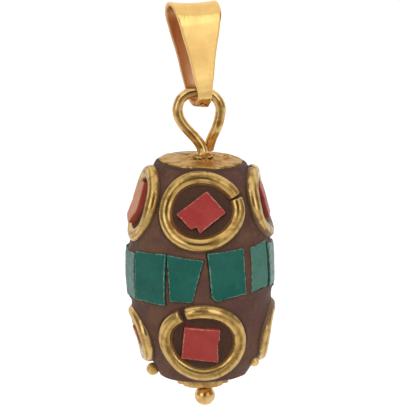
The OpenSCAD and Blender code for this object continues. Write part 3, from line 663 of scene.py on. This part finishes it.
def make_ring(tier, side, z, reach, row, seed):
    """An open ring bent from round wire and pressed into the soft lac, at the sides deeper beside
    the belt. Lanes run along the wire from -1 at the ring's inside to 1 at its outside: a painted
    dark reflection lies at the crest and the flanks, and painted pale highlights between them, at
    the outer rim and over the cut ends."""
    azimuth, _, oval, opening, gap_share, sink = row
    origin, across, up, out = on_side(azimuth, z)
    wire_r = RING_WIRE / 2
    path_r, path_w = reach - wire_r, reach * oval - wire_r
    half_gap = degrees(asin(gap_share * RING_WIRE / (2 * path_r)))
    steps, count = 150, 44
    route, sides, radii = [], [], []
    for i in range(steps + 1):
        a = radians(opening + half_gap + (360 - 2 * half_gap) * i / steps)
        wander = 1 + 0.008 * sin(3 * a + seed)
        spot = path_w * cos(a) * across + path_r * sin(a) * up
        toward_belt = sin(a) if tier == "lower" else -sin(a)
        lift = RING_LIFT - sink * ramp(toward_belt, -0.2, 0.9)
        route.append(pressed(settled(origin + wander * spot, out, lift)))
        sides.append(cos(a) * across + sin(a) * up)
        from_end = min(i, steps - i) / steps * 2 * pi * path_r
        radii.append(wire_r * (1 - 0.06 * exp(-from_end / 0.6)))
    loops = cut_end(wire_loops(route, sides, radii, count, 0.022, 1.6, seed))
    points, faces = skin(loops)
    ends = [(route[0], (route[1] - route[0]).normalized()),
            (route[-1], (route[-1] - route[-2]).normalized())]
    grime, crest, painted_highlight = [], [], []
    for p in points:
        q = p - BEAD
        above = hypot(hypot(q.x, q.y) - ARC_X, q.z - BELLY_RISE) - ARC_R
        rel = q - origin
        x, y = rel.dot(across), rel.dot(up)
        lane = (hypot(x / path_w, y / path_r) - 1) * path_r / wire_r
        lane += 0.08 * grain(q, 1.5, seed + 5)
        # Painted dark reflection along the crest and the flanks
        dark_reflection = line(lane, 0.08, 0.2) + 0.8 * line(abs(lane), 0.74, 0.09)
        crest.append(dark_reflection * (0.75 + 0.5 * grain(q, 2.5, seed + 6)))
        # Painted pale highlights between them, along the outer rim and over the cut ends
        highlight_at = 0.7 * line(abs(lane), 0.48, 0.13) + line(lane, 0.93, 0.06)
        for end, run in ends:
            if (p - end).length < RING_WIRE:
                highlight_at = max(highlight_at, 1 - ramp(abs((p - end).dot(run)), 0.05, 0.2))
        painted_highlight.append(min(1, highlight_at * (0.8 + 0.5 * grain(q, 1.8, seed + 7))))
        grime.append(1 - ramp(above + 0.07 * grain(q, 0.5, seed), 0.12, 0.6))
    make_piece("ring_%s_%s" % (tier, side), points, faces, RING_BRASS,
               "%s_ring_%s" % (tier, side), "bead",
               {"grime": grime, "crest": crest, "painted_highlight": painted_highlight})


# Chips


def chip_loops(corners, seed):
    """The outline of a hand-broken chip in small uneven steps."""
    step, jitter = 0.16, 0.035
    loop = []
    for (ax, ay), (bx, by) in zip(corners, corners[1:] + corners[:1]):
        length = hypot(bx - ax, by - ay)
        count = max(2, round(length / step))
        for i in range(count):
            t = (i + 0.5) / count if count > 3 else i / count
            x, y = ax + (bx - ax) * t, ay + (by - ay) * t
            uneven = grain((x, y, seed), 0.45, seed) + 0.6 * grain((x, y, seed), 0.18, seed + 2)
            push = jitter * (uneven - 0.35)
            nx, ny = (by - ay) / length, (ax - bx) / length
            loop.append((x - push * nx, y - push * ny))
    return loop


# Rows of points over a chip's edge: how far in from its outline, how far down from its face, and
# how much chipping wear and painted highlight it carries. The first row is its foot in the bed.
CHIP_EDGE = [(0, None, 0), (0, 0.16, 0), (0, 0.07, 0.6), (0.035, 0.02, 1), (0.1, 0, 0.75),
             (0.2, 0, 0.3)]


def make_chip(name, corners, seed, bed, face, place, finish, node, pale):
    """A stone chip: sides down into its bed, a softened, broken edge and a ground face that isn't
    quite flat.
    place turns a point across, up and out of the bead into the model's frame."""
    loop = chip_loops(corners, seed)
    middle = sum(x for x, _ in loop) / len(loop), sum(y for _, y in loop) / len(loop)
    reach = [hypot(x - middle[0], y - middle[1]) for x, y in loop]
    sections, edge, pale_tone_and_sheen = [], [], []
    for inset, down, wear_and_highlight in CHIP_EDGE:
        ring = []
        for (x, y), r in zip(loop, reach):
            keep = 1 - inset / r
            px, py = middle[0] + (x - middle[0]) * keep, middle[1] + (y - middle[1]) * keep
            if down is None:
                ring.append(place(px, py, -bed))
            else:
                broken = ramp(grain((x, y, 3 + seed), 0.5, seed), 0.15, 0.6)
                bite = 0.07 * broken * (1 - ramp(inset, 0.03, 0.2))
                ring.append(place(px, py, face(px, py) - down - bite))
        sections.append(ring)
        edge += [wear_and_highlight] * len(loop)
        # Painted sheen: the ground face is paler than the walls below it
        pale_tone_and_sheen += [pale if inset > 0.03 else 0.2 * pale] * len(loop)
    for share in (0.85, 0.68, 0.5, 0.32, 0.15):
        ring = []
        for (x, y), r in zip(loop, reach):
            keep = (1 - 0.2 / r) * share
            px, py = middle[0] + (x - middle[0]) * keep, middle[1] + (y - middle[1]) * keep
            ring.append(place(px, py, face(px, py)))
        sections.append(ring)
        edge += [0] * len(loop)
        pale_tone_and_sheen += [pale] * len(loop)
    points, faces = skin(sections)
    marks = {"edge": edge + [0, 0], "pale": pale_tone_and_sheen + [0, pale]}
    make_piece(name, points, faces, finish, node, "bead", marks, 40)


def make_coral(tier, side, z, reach, row, shares, seed):
    """A coral chip, flat and square to the lac in the middle of its ring."""
    origin, across, up, out = on_side(row[0], z)
    proud = CORAL_PROUD + CORAL_LIFT.get((tier, side), 0) - 0.02

    def place(x, y, h):
        return pressed(origin + x * across + y * up + h * out)

    def face(x, y):
        return proud + 0.03 * grain((x, y, seed), 1.3, seed)

    make_chip("chip_%s_%s" % (tier, side), coral_corners(reach, row[2], shares), seed, CORAL_BED,
              face, place, CORAL, "%s_coral_%s" % (tier, side),
              CORAL_PALE.get((tier, side), 0.08))


def make_turquoise(index):
    """A turquoise chip of the belt, its face ground to the barrel's curve from foot to top."""
    azimuth, half_width = belt_place(index)
    seed = 20 + index

    def place(x, y, h):
        z = y + BELT_RISE
        depth = ARC_X + sqrt((ARC_R + h) ** 2 - (z - BELLY_RISE) ** 2)
        return pressed(turned((x * min(1, 1 + h / CORE_R), -depth, z), azimuth))

    def face(x, y):
        uneven = 0.035 * grain((x, y, seed), 1.5, seed)
        return BELT_PROUD - 0.01 + uneven - 0.012 * (x / half_width) ** 2

    make_chip("turquoise_chip_%02d" % (index + 1), belt_corners(index), seed, BELT_BED, face,
              place, TURQUOISE, "turquoise_%02d" % (index + 1), BELT_PALE[index])


# Caps and tube


def around(shares, turn):
    """A value from a list that goes round, eased between its entries."""
    at = turn * len(shares)
    low = int(at) % len(shares)
    step = shares[(low + 1) % len(shares)] - shares[low]
    return shares[low] + step * ramp(at - int(at), 0, 1)


def make_cap(name, node, width, height, rim, way, crumple, seed):
    """A hammered disc, crumpled round the tube: way is 1 for the top cap, which has a fleck of
    solder and a dark stain, and -1 for the bottom one, whose ragged rim stands off the lac."""
    count, rows, hole, into_lac = 200, 30, TUBE / 2, -0.3
    slope = 0.4 if way > 0 else -0.6
    sections, grime = [], []
    for i in range(-1, rows + 3):
        loop = []
        for k in range(count):
            a = 2 * pi * k / count
            edge = width / 2 * around(rim, k / count)
            edge += 0.05 * grain((cos(a) * 9, sin(a) * 9, seed), 1, seed)
            t = min(max(i, 0) / rows, 1)
            r = hole + (edge - hole) * t
            spot = Vector((r * cos(a), r * sin(a), 0))
            top = height * (1 - slope * ramp(r, TUBE_LIP_WIDTH / 2, width / 2))
            top += 0.035 * rough(spot, 1.8, seed) - 0.03
            top += crumple * max(0, 0.4 + rough(spot, 0.55, seed + 4)) * line(r, 1.6, 0.42)
            stain = 0
            if way > 0:
                x, y = spot.x, spot.y
                fleck = exp(-hypot((x - 2.55) / 0.3, (y - 0.5) / 0.22) ** 2)
                swell = exp(-((x + 2.2) / 0.9) ** 2 - ((y - 2) / 0.7) ** 2)
                top += 0.42 * fleck + 0.05 * swell
                stain = exp(-((x + 1.5) / 1.3) ** 2 - ((y - 1.7) / 1.5) ** 2)
                stain = max(0.5 * ramp(t, 0.85, 1), stain + 0.3 * grain(spot, 0.8, seed + 8))
            if i < 0:
                h = into_lac
            elif i <= rows:
                h = top - 0.05 * ramp(t, 0.97, 1)
            elif i == rows + 1:
                r, h = r + 0.02, top * 0.6
            else:
                r, h = r - 0.02, into_lac
            loop.append(pressed((r * cos(a), r * sin(a), way * (CORE_LENGTH / 2 + h))))
            grime.append(max(1 - ramp(h, 0.05, 0.2), stain))
        sections.append(loop)
    points, faces = skin(sections, closed=True)
    make_piece(name, points, faces, CAP_BRASS, node, "bead", {"grime": grime}, 60)


def make_tube():
    """The tube's ends are split and spread by hammering, so their lips are uneven."""
    count = 96
    top, bottom = CORE_LENGTH / 2 + TOP_CAP_HEIGHT, -CORE_LENGTH / 2 - BOTTOM_CAP_HEIGHT
    bore, tube_r, lip_r = WIRE / 2 + RUNNING_GAP, TUBE / 2, TUBE_LIP_WIDTH / 2
    # Radius, and how far past the cap as a share of the lip's height
    lip = [(bore, 0.7), (bore + 0.12, 1), (lip_r - 0.14, 0.95), (lip_r, 0.5), (lip_r, 0.12)]
    profile = [(bore, bottom)] + [(r, bottom - share) for r, share in lip] + [(tube_r, bottom)]
    profile += [(tube_r, top)] + [(r, top + share) for r, share in reversed(lip)] + [(bore, top)]
    sections = []
    for r, z in profile:
        way, level = (1, top) if z > 0 else (-1, bottom)
        over = way * (z - level)
        loop = []
        for k in range(count):
            a = 2 * pi * k / count
            splits = sin(7 * a + (2 if z > 0 else 0))
            torn = 0.5 + 0.5 * splits * grain((cos(a) * 3, sin(a) * 3, z / 20), 1.4, 6)
            torn = ramp(torn + 0.4 * grain((cos(a) * 5, sin(a) * 5, z / 20), 1, 9), 0.1, 0.7)
            rise = over * TUBE_LIP_HEIGHT * (0.55 + 0.45 * torn) if over > 0 else 0
            reach = r + (0.1 * (torn - 0.6) if r > tube_r else 0)
            loop.append(Vector((reach * cos(a), reach * sin(a), level + way * rise)) + BEAD)
        sections.append(loop)
    points, faces = skin(sections, closed=True)
    grime = [0.35 if p.z - BEAD.z > top + 0.05 or p.z - BEAD.z < bottom - 0.05 else 0.8
             for p in points]
    make_piece("torn_tube", points, faces, CAP_BRASS, "core_tube", "bead",
               {"grime": grime})


# Granules


def make_granule(name, azimuth, drop, size, proud, seed):
    """A brass ball, slightly uneven, melted round and pressed into a socket of the lac."""
    r = size * GRANULE_WIDTH / 2
    origin, across, up, out = on_side(azimuth, -drop * CORE_LENGTH / 2)
    centre = pressed(origin + proud * r * out)
    sections, grime = [], []
    rows, count = 22, 32
    for i in range(1, rows):
        tip = pi * i / rows
        loop = []
        for k in range(count):
            a = 2 * pi * k / count
            ray = sin(tip) * (cos(a) * across + sin(a) * up) - cos(tip) * out
            loop.append(centre + ray * r * (0.985 + 0.03 * grain(ray * r, 0.6, seed)))
            grime.append(1 - ramp(-cos(tip), -0.8, -0.4))
        sections.append(loop)
    points, faces = skin(sections)
    make_piece("granule_ball_" + name, points, faces, GRANULE_BRASS, "granule_" + name, "bead",
               {"grime": grime + [1, 0]}, 80)


# Head pin

# The wire of the eye, from its fork on the cap up the left, round and down again: places to the
# right of the stem's axis, behind it and above the cap
EYE_WIRE = [(0.06, 0, 0.12), (0.2, 0, 0.5), (0.03, 0, 1.14), (-0.36, 0, 1.76), (-0.92, 0, 2.39),
            (-1.48, 0, 3.02), (-1.91, 0, 3.63), (-2.18, 0, 4.25), (-2.28, 0, 4.9), (-2.17, 0, 5.5),
            (-1.82, 0, 6.1), (-1.08, 0, 6.58), (-0.1, 0, 6.73), (0.85, 0, 6.56), (1.56, 0, 6.1),
            (1.96, 0, 5.5), (2.09, 0, 4.9), (2.02, 0, 4.25), (1.87, 0, 3.63), (1.67, 0.05, 3),
            (1.4, 0.2, 2.39), (1.13, 0.45, 1.76), (0.93, 0.72, 1.14), (0.84, 0.88, 0.72)]


def threaded(places, base):
    """A smooth route of wire through places above a base height."""
    steps = 8
    knots = [Vector((x, y, z + base)) for x, y, z in places]
    route = []
    for i in range(len(knots) - 1):
        before, after = knots[max(i - 1, 0)], knots[min(i + 2, len(knots) - 1)]
        a, b = knots[i], knots[i + 1]
        for k in range(steps):
            t = k / steps
            route.append(0.5 * (2 * a + (b - before) * t
                                + (2 * before - 5 * a + 4 * b - after) * t ** 2
                                + (3 * a - before - 3 * b + after) * t ** 3))
    return route + [knots[-1]]


def make_pin():
    """One wire: melted into a ball at its foot, straight through the tube, round the eye and down
    again beside itself. Its fork is dirty, and a painted dark reflection lies on the front and
    back of the eye."""
    wire_r, ball_r = WIRE / 2, BALL / 2
    ball_steps, stem_steps, ball_start = 16, 30, radians(4)
    cap_z = HANG_Z - EYE_R - NECK_HEIGHT
    bottom = cap_z - TOP_CAP_HEIGHT - CORE_LENGTH - BOTTOM_CAP_HEIGHT - TUBE_LIP_HEIGHT
    ball_z = bottom - BALL_GAP - sqrt(ball_r ** 2 - (wire_r + RUNNING_GAP) ** 2)
    ball_end = pi - asin(wire_r / ball_r)
    route, radii = [], []
    for i in range(ball_steps + 1):
        tip = ball_start + (ball_end - ball_start) * i / ball_steps
        route.append(Vector((0, 0, ball_z - ball_r * cos(tip))))
        radii.append(ball_r * sin(tip))
    low, neck = route[-1].z, cap_z + EYE_WIRE[0][2]
    stem = [Vector((0, 0, low + (neck - low) * i / stem_steps)) for i in range(1, stem_steps)]
    along = stem + threaded(EYE_WIRE, cap_z)
    route += along
    radii += [wire_r] * len(along)
    shift = Vector((BEAD.x, 0, 0))
    route = [p + shift for p in route]
    loops = wire_loops(route, [Vector((0, 1, 0))] * len(route), radii, 28, 0.008, 1.8, 4)
    tail = cut_end([loops[-2], loops[-1]], 0.1)[-3:]
    points, faces = skin(loops + tail)
    grime, crest = [], []
    for p in points:
        from_fork = abs(p.z - cap_z - 0.1) + 0.2 * grain(p, 0.5, 2)
        grime.append(0.45 * (1 - ramp(from_fork, 0, 0.5)))
        # Painted dark reflection on the front and back of the eye's wire
        facing = abs(p.y) / wire_r + 0.12 * grain(p, 1.5, 3)
        crest.append(ramp(facing, 0.86, 0.97) if p.z > neck + 0.8 else 0)
    make_piece("bent_head_pin", points, faces, PIN_WIRE, "head_pin", "pin",
               {"grime": grime, "crest": crest})


# Bail


def eased(rows, column, share):
    """A value from a table of stations, on a smooth curve through them."""
    if share <= rows[0][0]:
        return rows[0][column]
    for i in range(len(rows) - 1):
        x0, x1 = rows[i][0], rows[i + 1][0]
        if share <= x1:
            y0, y1 = rows[i][column], rows[i + 1][column]
            before, after = rows[max(i - 1, 0)], rows[min(i + 2, len(rows) - 1)]
            m0 = (y1 - before[column]) / max(x1 - before[0], 1e-6)
            m1 = (after[column] - y0) / max(after[0] - x0, 1e-6)
            t = (share - x0) / (x1 - x0)
            h = x1 - x0
            return ((2 * t ** 3 - 3 * t ** 2 + 1) * y0 + (t ** 3 - 2 * t ** 2 + t) * h * m0
                    + (-2 * t ** 3 + 3 * t ** 2) * y1 + (t ** 3 - t ** 2) * h * m1)
    return rows[-1][column]


def make_bail():
    """One strip of sheet: narrow and soldered at the point, wide and flared over the chain. Its
    section runs up the front leaf, over the fold and down the back one, outside and inside."""
    fold_r = BAIL_DEPTH / 2
    fold_z = BAIL_SHEET - fold_r
    pocket_r = BAIL_DEPTH * 0.55
    dip = BAIL_TOP_WIDTH / 2 * BAIL_LEAF[5][2] + WIRE / 2 * sin(radians(BAIL_TWIST))
    eye_dip = EYE_R - sqrt(EYE_R ** 2 - dip ** 2) + dip * sin(radians(BAIL_LEAN))
    pocket_z = HANG_Z - WIRE / 2 - eye_dip - EYE_GAP
    widths = [(s, w) for s, _, w in BAIL_LEAF] + [(0.9, 0.95), (1, 1)]

    def share(z):
        return (z - POINT_Z) / BAIL_HEIGHT

    def half_depth(z):
        return BAIL_DEPTH / 2 * eased(BAIL_LEAF, 1, share(z))

    def half_width(z):
        return BAIL_TOP_WIDTH / 2 * eased(widths, 1, share(z))

    def inner_depth(z):
        rise = min(max(z - pocket_z, 0), pocket_r)
        pocket = sqrt(max(pocket_r ** 2 - (pocket_r - rise) ** 2, 0))
        return min(half_depth(z) - BAIL_SHEET, pocket)

    squeeze = (fold_z - pocket_z) / (fold_z - POINT_Z)
    low_share, top_share = 0.008, (fold_z - POINT_Z) / BAIL_HEIGHT
    rows, bends, soft = 76, 40, 0.1
    leaf = []
    for i in range(rows + 1):
        z = POINT_Z + BAIL_HEIGHT * (low_share + (top_share - low_share) * (i / rows) ** 1.1)
        inner_z = pocket_z + (z - POINT_Z) * squeeze
        leaf.append(((half_depth(z), z), (inner_depth(inner_z), inner_z)))
    fold = []
    for i in range(1, bends):
        a = pi * i / bends
        fold.append(tuple((r * cos(a), fold_z + r * sin(a)) for r in (fold_r, fold_r - BAIL_SHEET)))
    back = [((-o[0], o[1]), (-n[0], n[1])) for o, n in reversed(leaf)]
    tip = ((0, POINT_Z), (0, pocket_z))
    lanes = [i / 10 for i in range(-9, 10)]
    corner = ((1, 0), (0.29, 0.29), (0, 1))
    turn = (Matrix.Rotation(radians(-BAIL_LEAN), 3, "Y")
            @ Matrix.Rotation(radians(BAIL_TWIST), 3, "Z"))
    sections, solder, inside = [], [], []
    for outer, inner in [tip] + leaf + fold + back:
        thick = max(hypot(outer[0] - inner[0], outer[1] - inner[1]), 0.2)
        r = soft / thick
        # Round the strip's section: share across, through the sheet, and of its softened edge
        rail = [(lane, 0, 1) for lane in lanes]
        rail += [(1, r * down, inward) for inward, down in corner]
        rail += [(1, 1 - r * down, inward) for inward, down in reversed(corner)]
        rail += [(lane, 1, 1) for lane in reversed(lanes)]
        rail += [(-1, 1 - r * down, inward) for inward, down in corner]
        rail += [(-1, r * down, inward) for inward, down in reversed(corner)]
        loop = []
        for across, deep, inward in rail:
            x = outer[0] + (inner[0] - outer[0]) * deep
            z = outer[1] + (inner[1] - outer[1]) * deep
            wide = half_width(z)
            edge = across * (wide - soft * inward)
            level = edge / wide
            crest = max(0, (z - fold_z) / fold_r)
            point = max(0, 1 - (z - POINT_Z) / 0.85)
            lift = (crest * level * (BAIL_FLARE * level - BAIL_CREST_DROP)
                    - BAIL_SLANT * point * level)
            place = Vector((edge, -x, z + lift))
            low = 1 - ramp(z, POINT_Z + 0.25, POINT_Z + 1.3)
            if deep < 0.5:
                lump = low * 0.06 * rough(place, 0.5, 11) + 0.012 * grain(place, 2.2, 12)
                place += Vector((0, -1 if x > 0 else 1, 0)) * lump
            loop.append(turn @ place)
            inside.append(1 if deep > 0.5 else 0)
            solder.append(low * (0.55 + 0.6 * grain(place, 0.45, 13)) if deep < 0.5 else low)
        sections.append(loop)
    points, faces = skin(sections, closed=True)
    make_piece("strip_bail", points, faces, GILT, "bail", "bail",
               {"solder": solder, "inside": inside}, 60)


# Stage


def make_camera():
    """Long lens at the photograph's height, a little rolled."""
    lens = bpy.data.cameras.new("photo_lens")
    lens.sensor_fit = "HORIZONTAL"
    lens.sensor_width = 36
    lens.clip_start, lens.clip_end = 0.05, 5
    target = Vector((0.4256, 0, -20.2)) * MM
    view_width = 40.8 * MM
    reach, rise, roll = 0.45, radians(10.5), radians(0.95)
    lens.lens = lens.sensor_width * reach / view_width
    camera = bpy.data.objects.new("photo_camera", lens)
    bpy.context.scene.collection.objects.link(camera)
    spot = target + reach * Vector((0, -cos(rise), sin(rise)))
    facing = (target - spot).to_track_quat("-Z", "Y").to_matrix().to_4x4()
    camera.matrix_world = Matrix.Translation(spot) @ facing @ Matrix.Rotation(-roll, 4, "Z")
    bpy.context.scene.camera = camera


def make_lamps():
    """Two tall soft boxes, one on each side of the camera."""
    away, rise, width, height, watts = 0.6, 2, 0.34, 0.95, 1.2
    middle = Vector((0, 0, -0.022))
    for name, azimuth in (("left_box", -37), ("right_box", 37)):
        lamp = bpy.data.lights.new(name, "AREA")
        lamp.shape = "RECTANGLE"
        lamp.size, lamp.size_y = width, height
        lamp.energy = watts
        box = bpy.data.objects.new(name, lamp)
        bpy.context.scene.collection.objects.link(box)
        ray = turned((0, -cos(radians(rise)), sin(radians(rise))), azimuth)
        box.location = middle + away * ray
        box.rotation_euler = ray.to_track_quat("Z", "Y").to_euler()
        box.visible_camera = False


def make_world():
    """White behind the object. On the camera's side metal mirrors a dim room under a bright
    ceiling, darkest straight ahead, where the camera itself would stand."""
    soft_light = 0.62
    world = bpy.data.worlds.new("studio_room")
    bpy.context.scene.world = world
    world.use_nodes = True
    tree = world.node_tree
    tree.nodes.clear()
    ray = put(tree, "LightPath").node.outputs
    x, y, z = put(tree, "SeparateXYZ", [put(tree, "TexCoord", out="Generated")]).node.outputs
    toward = put(tree, "Math", (y, -1), operation="MULTIPLY")
    ahead = put(tree, "Math", (toward, 0.02), operation="MAXIMUM")
    aside = put(tree, "Math", (x, 0), operation="ABSOLUTE")
    aside = put(tree, "Math", (aside, ahead), operation="DIVIDE")
    room = put(tree, "MapRange", (toward, -0.45, -0.15))
    dim = put(tree, "MapRange", (aside, 0.2, 0.4, 0.04, 0.3))
    dim = put(tree, "Math", (room, dim), operation="MULTIPLY")
    behind = put(tree, "Math", (1, room), operation="SUBTRACT")
    level = put(tree, "Math", (dim, behind), operation="ADD")
    ceiling = put(tree, "MapRange", (z, 0.4, 0.75, 0, 0.95))
    level = put(tree, "Math", (level, ceiling), operation="MAXIMUM")
    shiny = put(tree, "Math", (ray["Is Glossy Ray"], ray["Is Transmission Ray"]),
                operation="MAXIMUM")
    level = put(tree, "Math", (level, soft_light), operation="SUBTRACT")
    level = put(tree, "Math", (shiny, level), operation="MULTIPLY")
    level = put(tree, "Math", (soft_light, level), operation="ADD")
    level = put(tree, "Math", (level, ray["Is Camera Ray"]), operation="MAXIMUM")
    background = put(tree, "Background", {"Color": (1, 1, 1, 1), "Strength": level})
    put(tree, "OutputWorld", {"Surface": background})


def make_floor():
    """A pale sheet well below the hanging pendant, which keeps its soft shadow. To the camera it
    glows up to white, and metal mirrors it brighter towards the back."""
    level, half = -58 * MM, 0.9
    mesh = bpy.data.meshes.new("pale_sheet")
    mesh.from_pydata([(-half, -half, level), (half, -half, level), (half, half, level),
                      (-half, half, level)], [], [(0, 1, 2, 3)])
    finish, tree, place = bare_finish("pale_paper")
    ray = put(tree, "LightPath").node.outputs
    depth = put(tree, "SeparateXYZ", [place], "Y")
    mirrored = put(tree, "MapRange", (depth, -0.06, 0, 0.1, 0.42))
    mirrored = put(tree, "Math", (ray["Is Glossy Ray"], mirrored), operation="MULTIPLY")
    strength = put(tree, "Math", (ray["Is Camera Ray"], 0.6), operation="MULTIPLY")
    strength = put(tree, "Math", (strength, mirrored), operation="ADD")
    paper = put(tree, "BsdfDiffuse", {"Color": (0.8, 0.8, 0.8, 1)})
    glow = put(tree, "Emission", {"Color": (1, 1, 1, 1), "Strength": strength})
    put(tree, "OutputMaterial", {"Surface": put(tree, "AddShader", (paper, glow))})
    mesh.materials.append(finish)
    floor = bpy.data.objects.new("pale_sheet", mesh)
    bpy.context.scene.collection.objects.link(floor)


make_camera()
make_lamps()
make_world()
make_floor()
make_lac()
for number, (tier, side, z, reach, row, shares) in enumerate(RINGS):
    make_ring(tier, side, z, reach, row, 1.7 + number)
    make_coral(tier, side, z, reach, row, shares, 40 + number)
for index in range(len(BELT_SHARES)):
    make_turquoise(index)
make_cap("top_disc", "top_cap", TOP_CAP_WIDTH, TOP_CAP_HEIGHT, TOP_RIM, 1, 0.2, 3)
make_cap("bottom_disc", "bottom_cap", BOTTOM_CAP_WIDTH, BOTTOM_CAP_HEIGHT, BOTTOM_RIM, -1, 0.1, 5)
make_tube()
for number, (name, azimuth, drop, size, proud) in enumerate(GRANULES):
    make_granule(name, azimuth, drop, size, proud, 60 + number)
make_pin()
make_bail()

bpy.context.scene.view_settings.view_transform = "Standard"
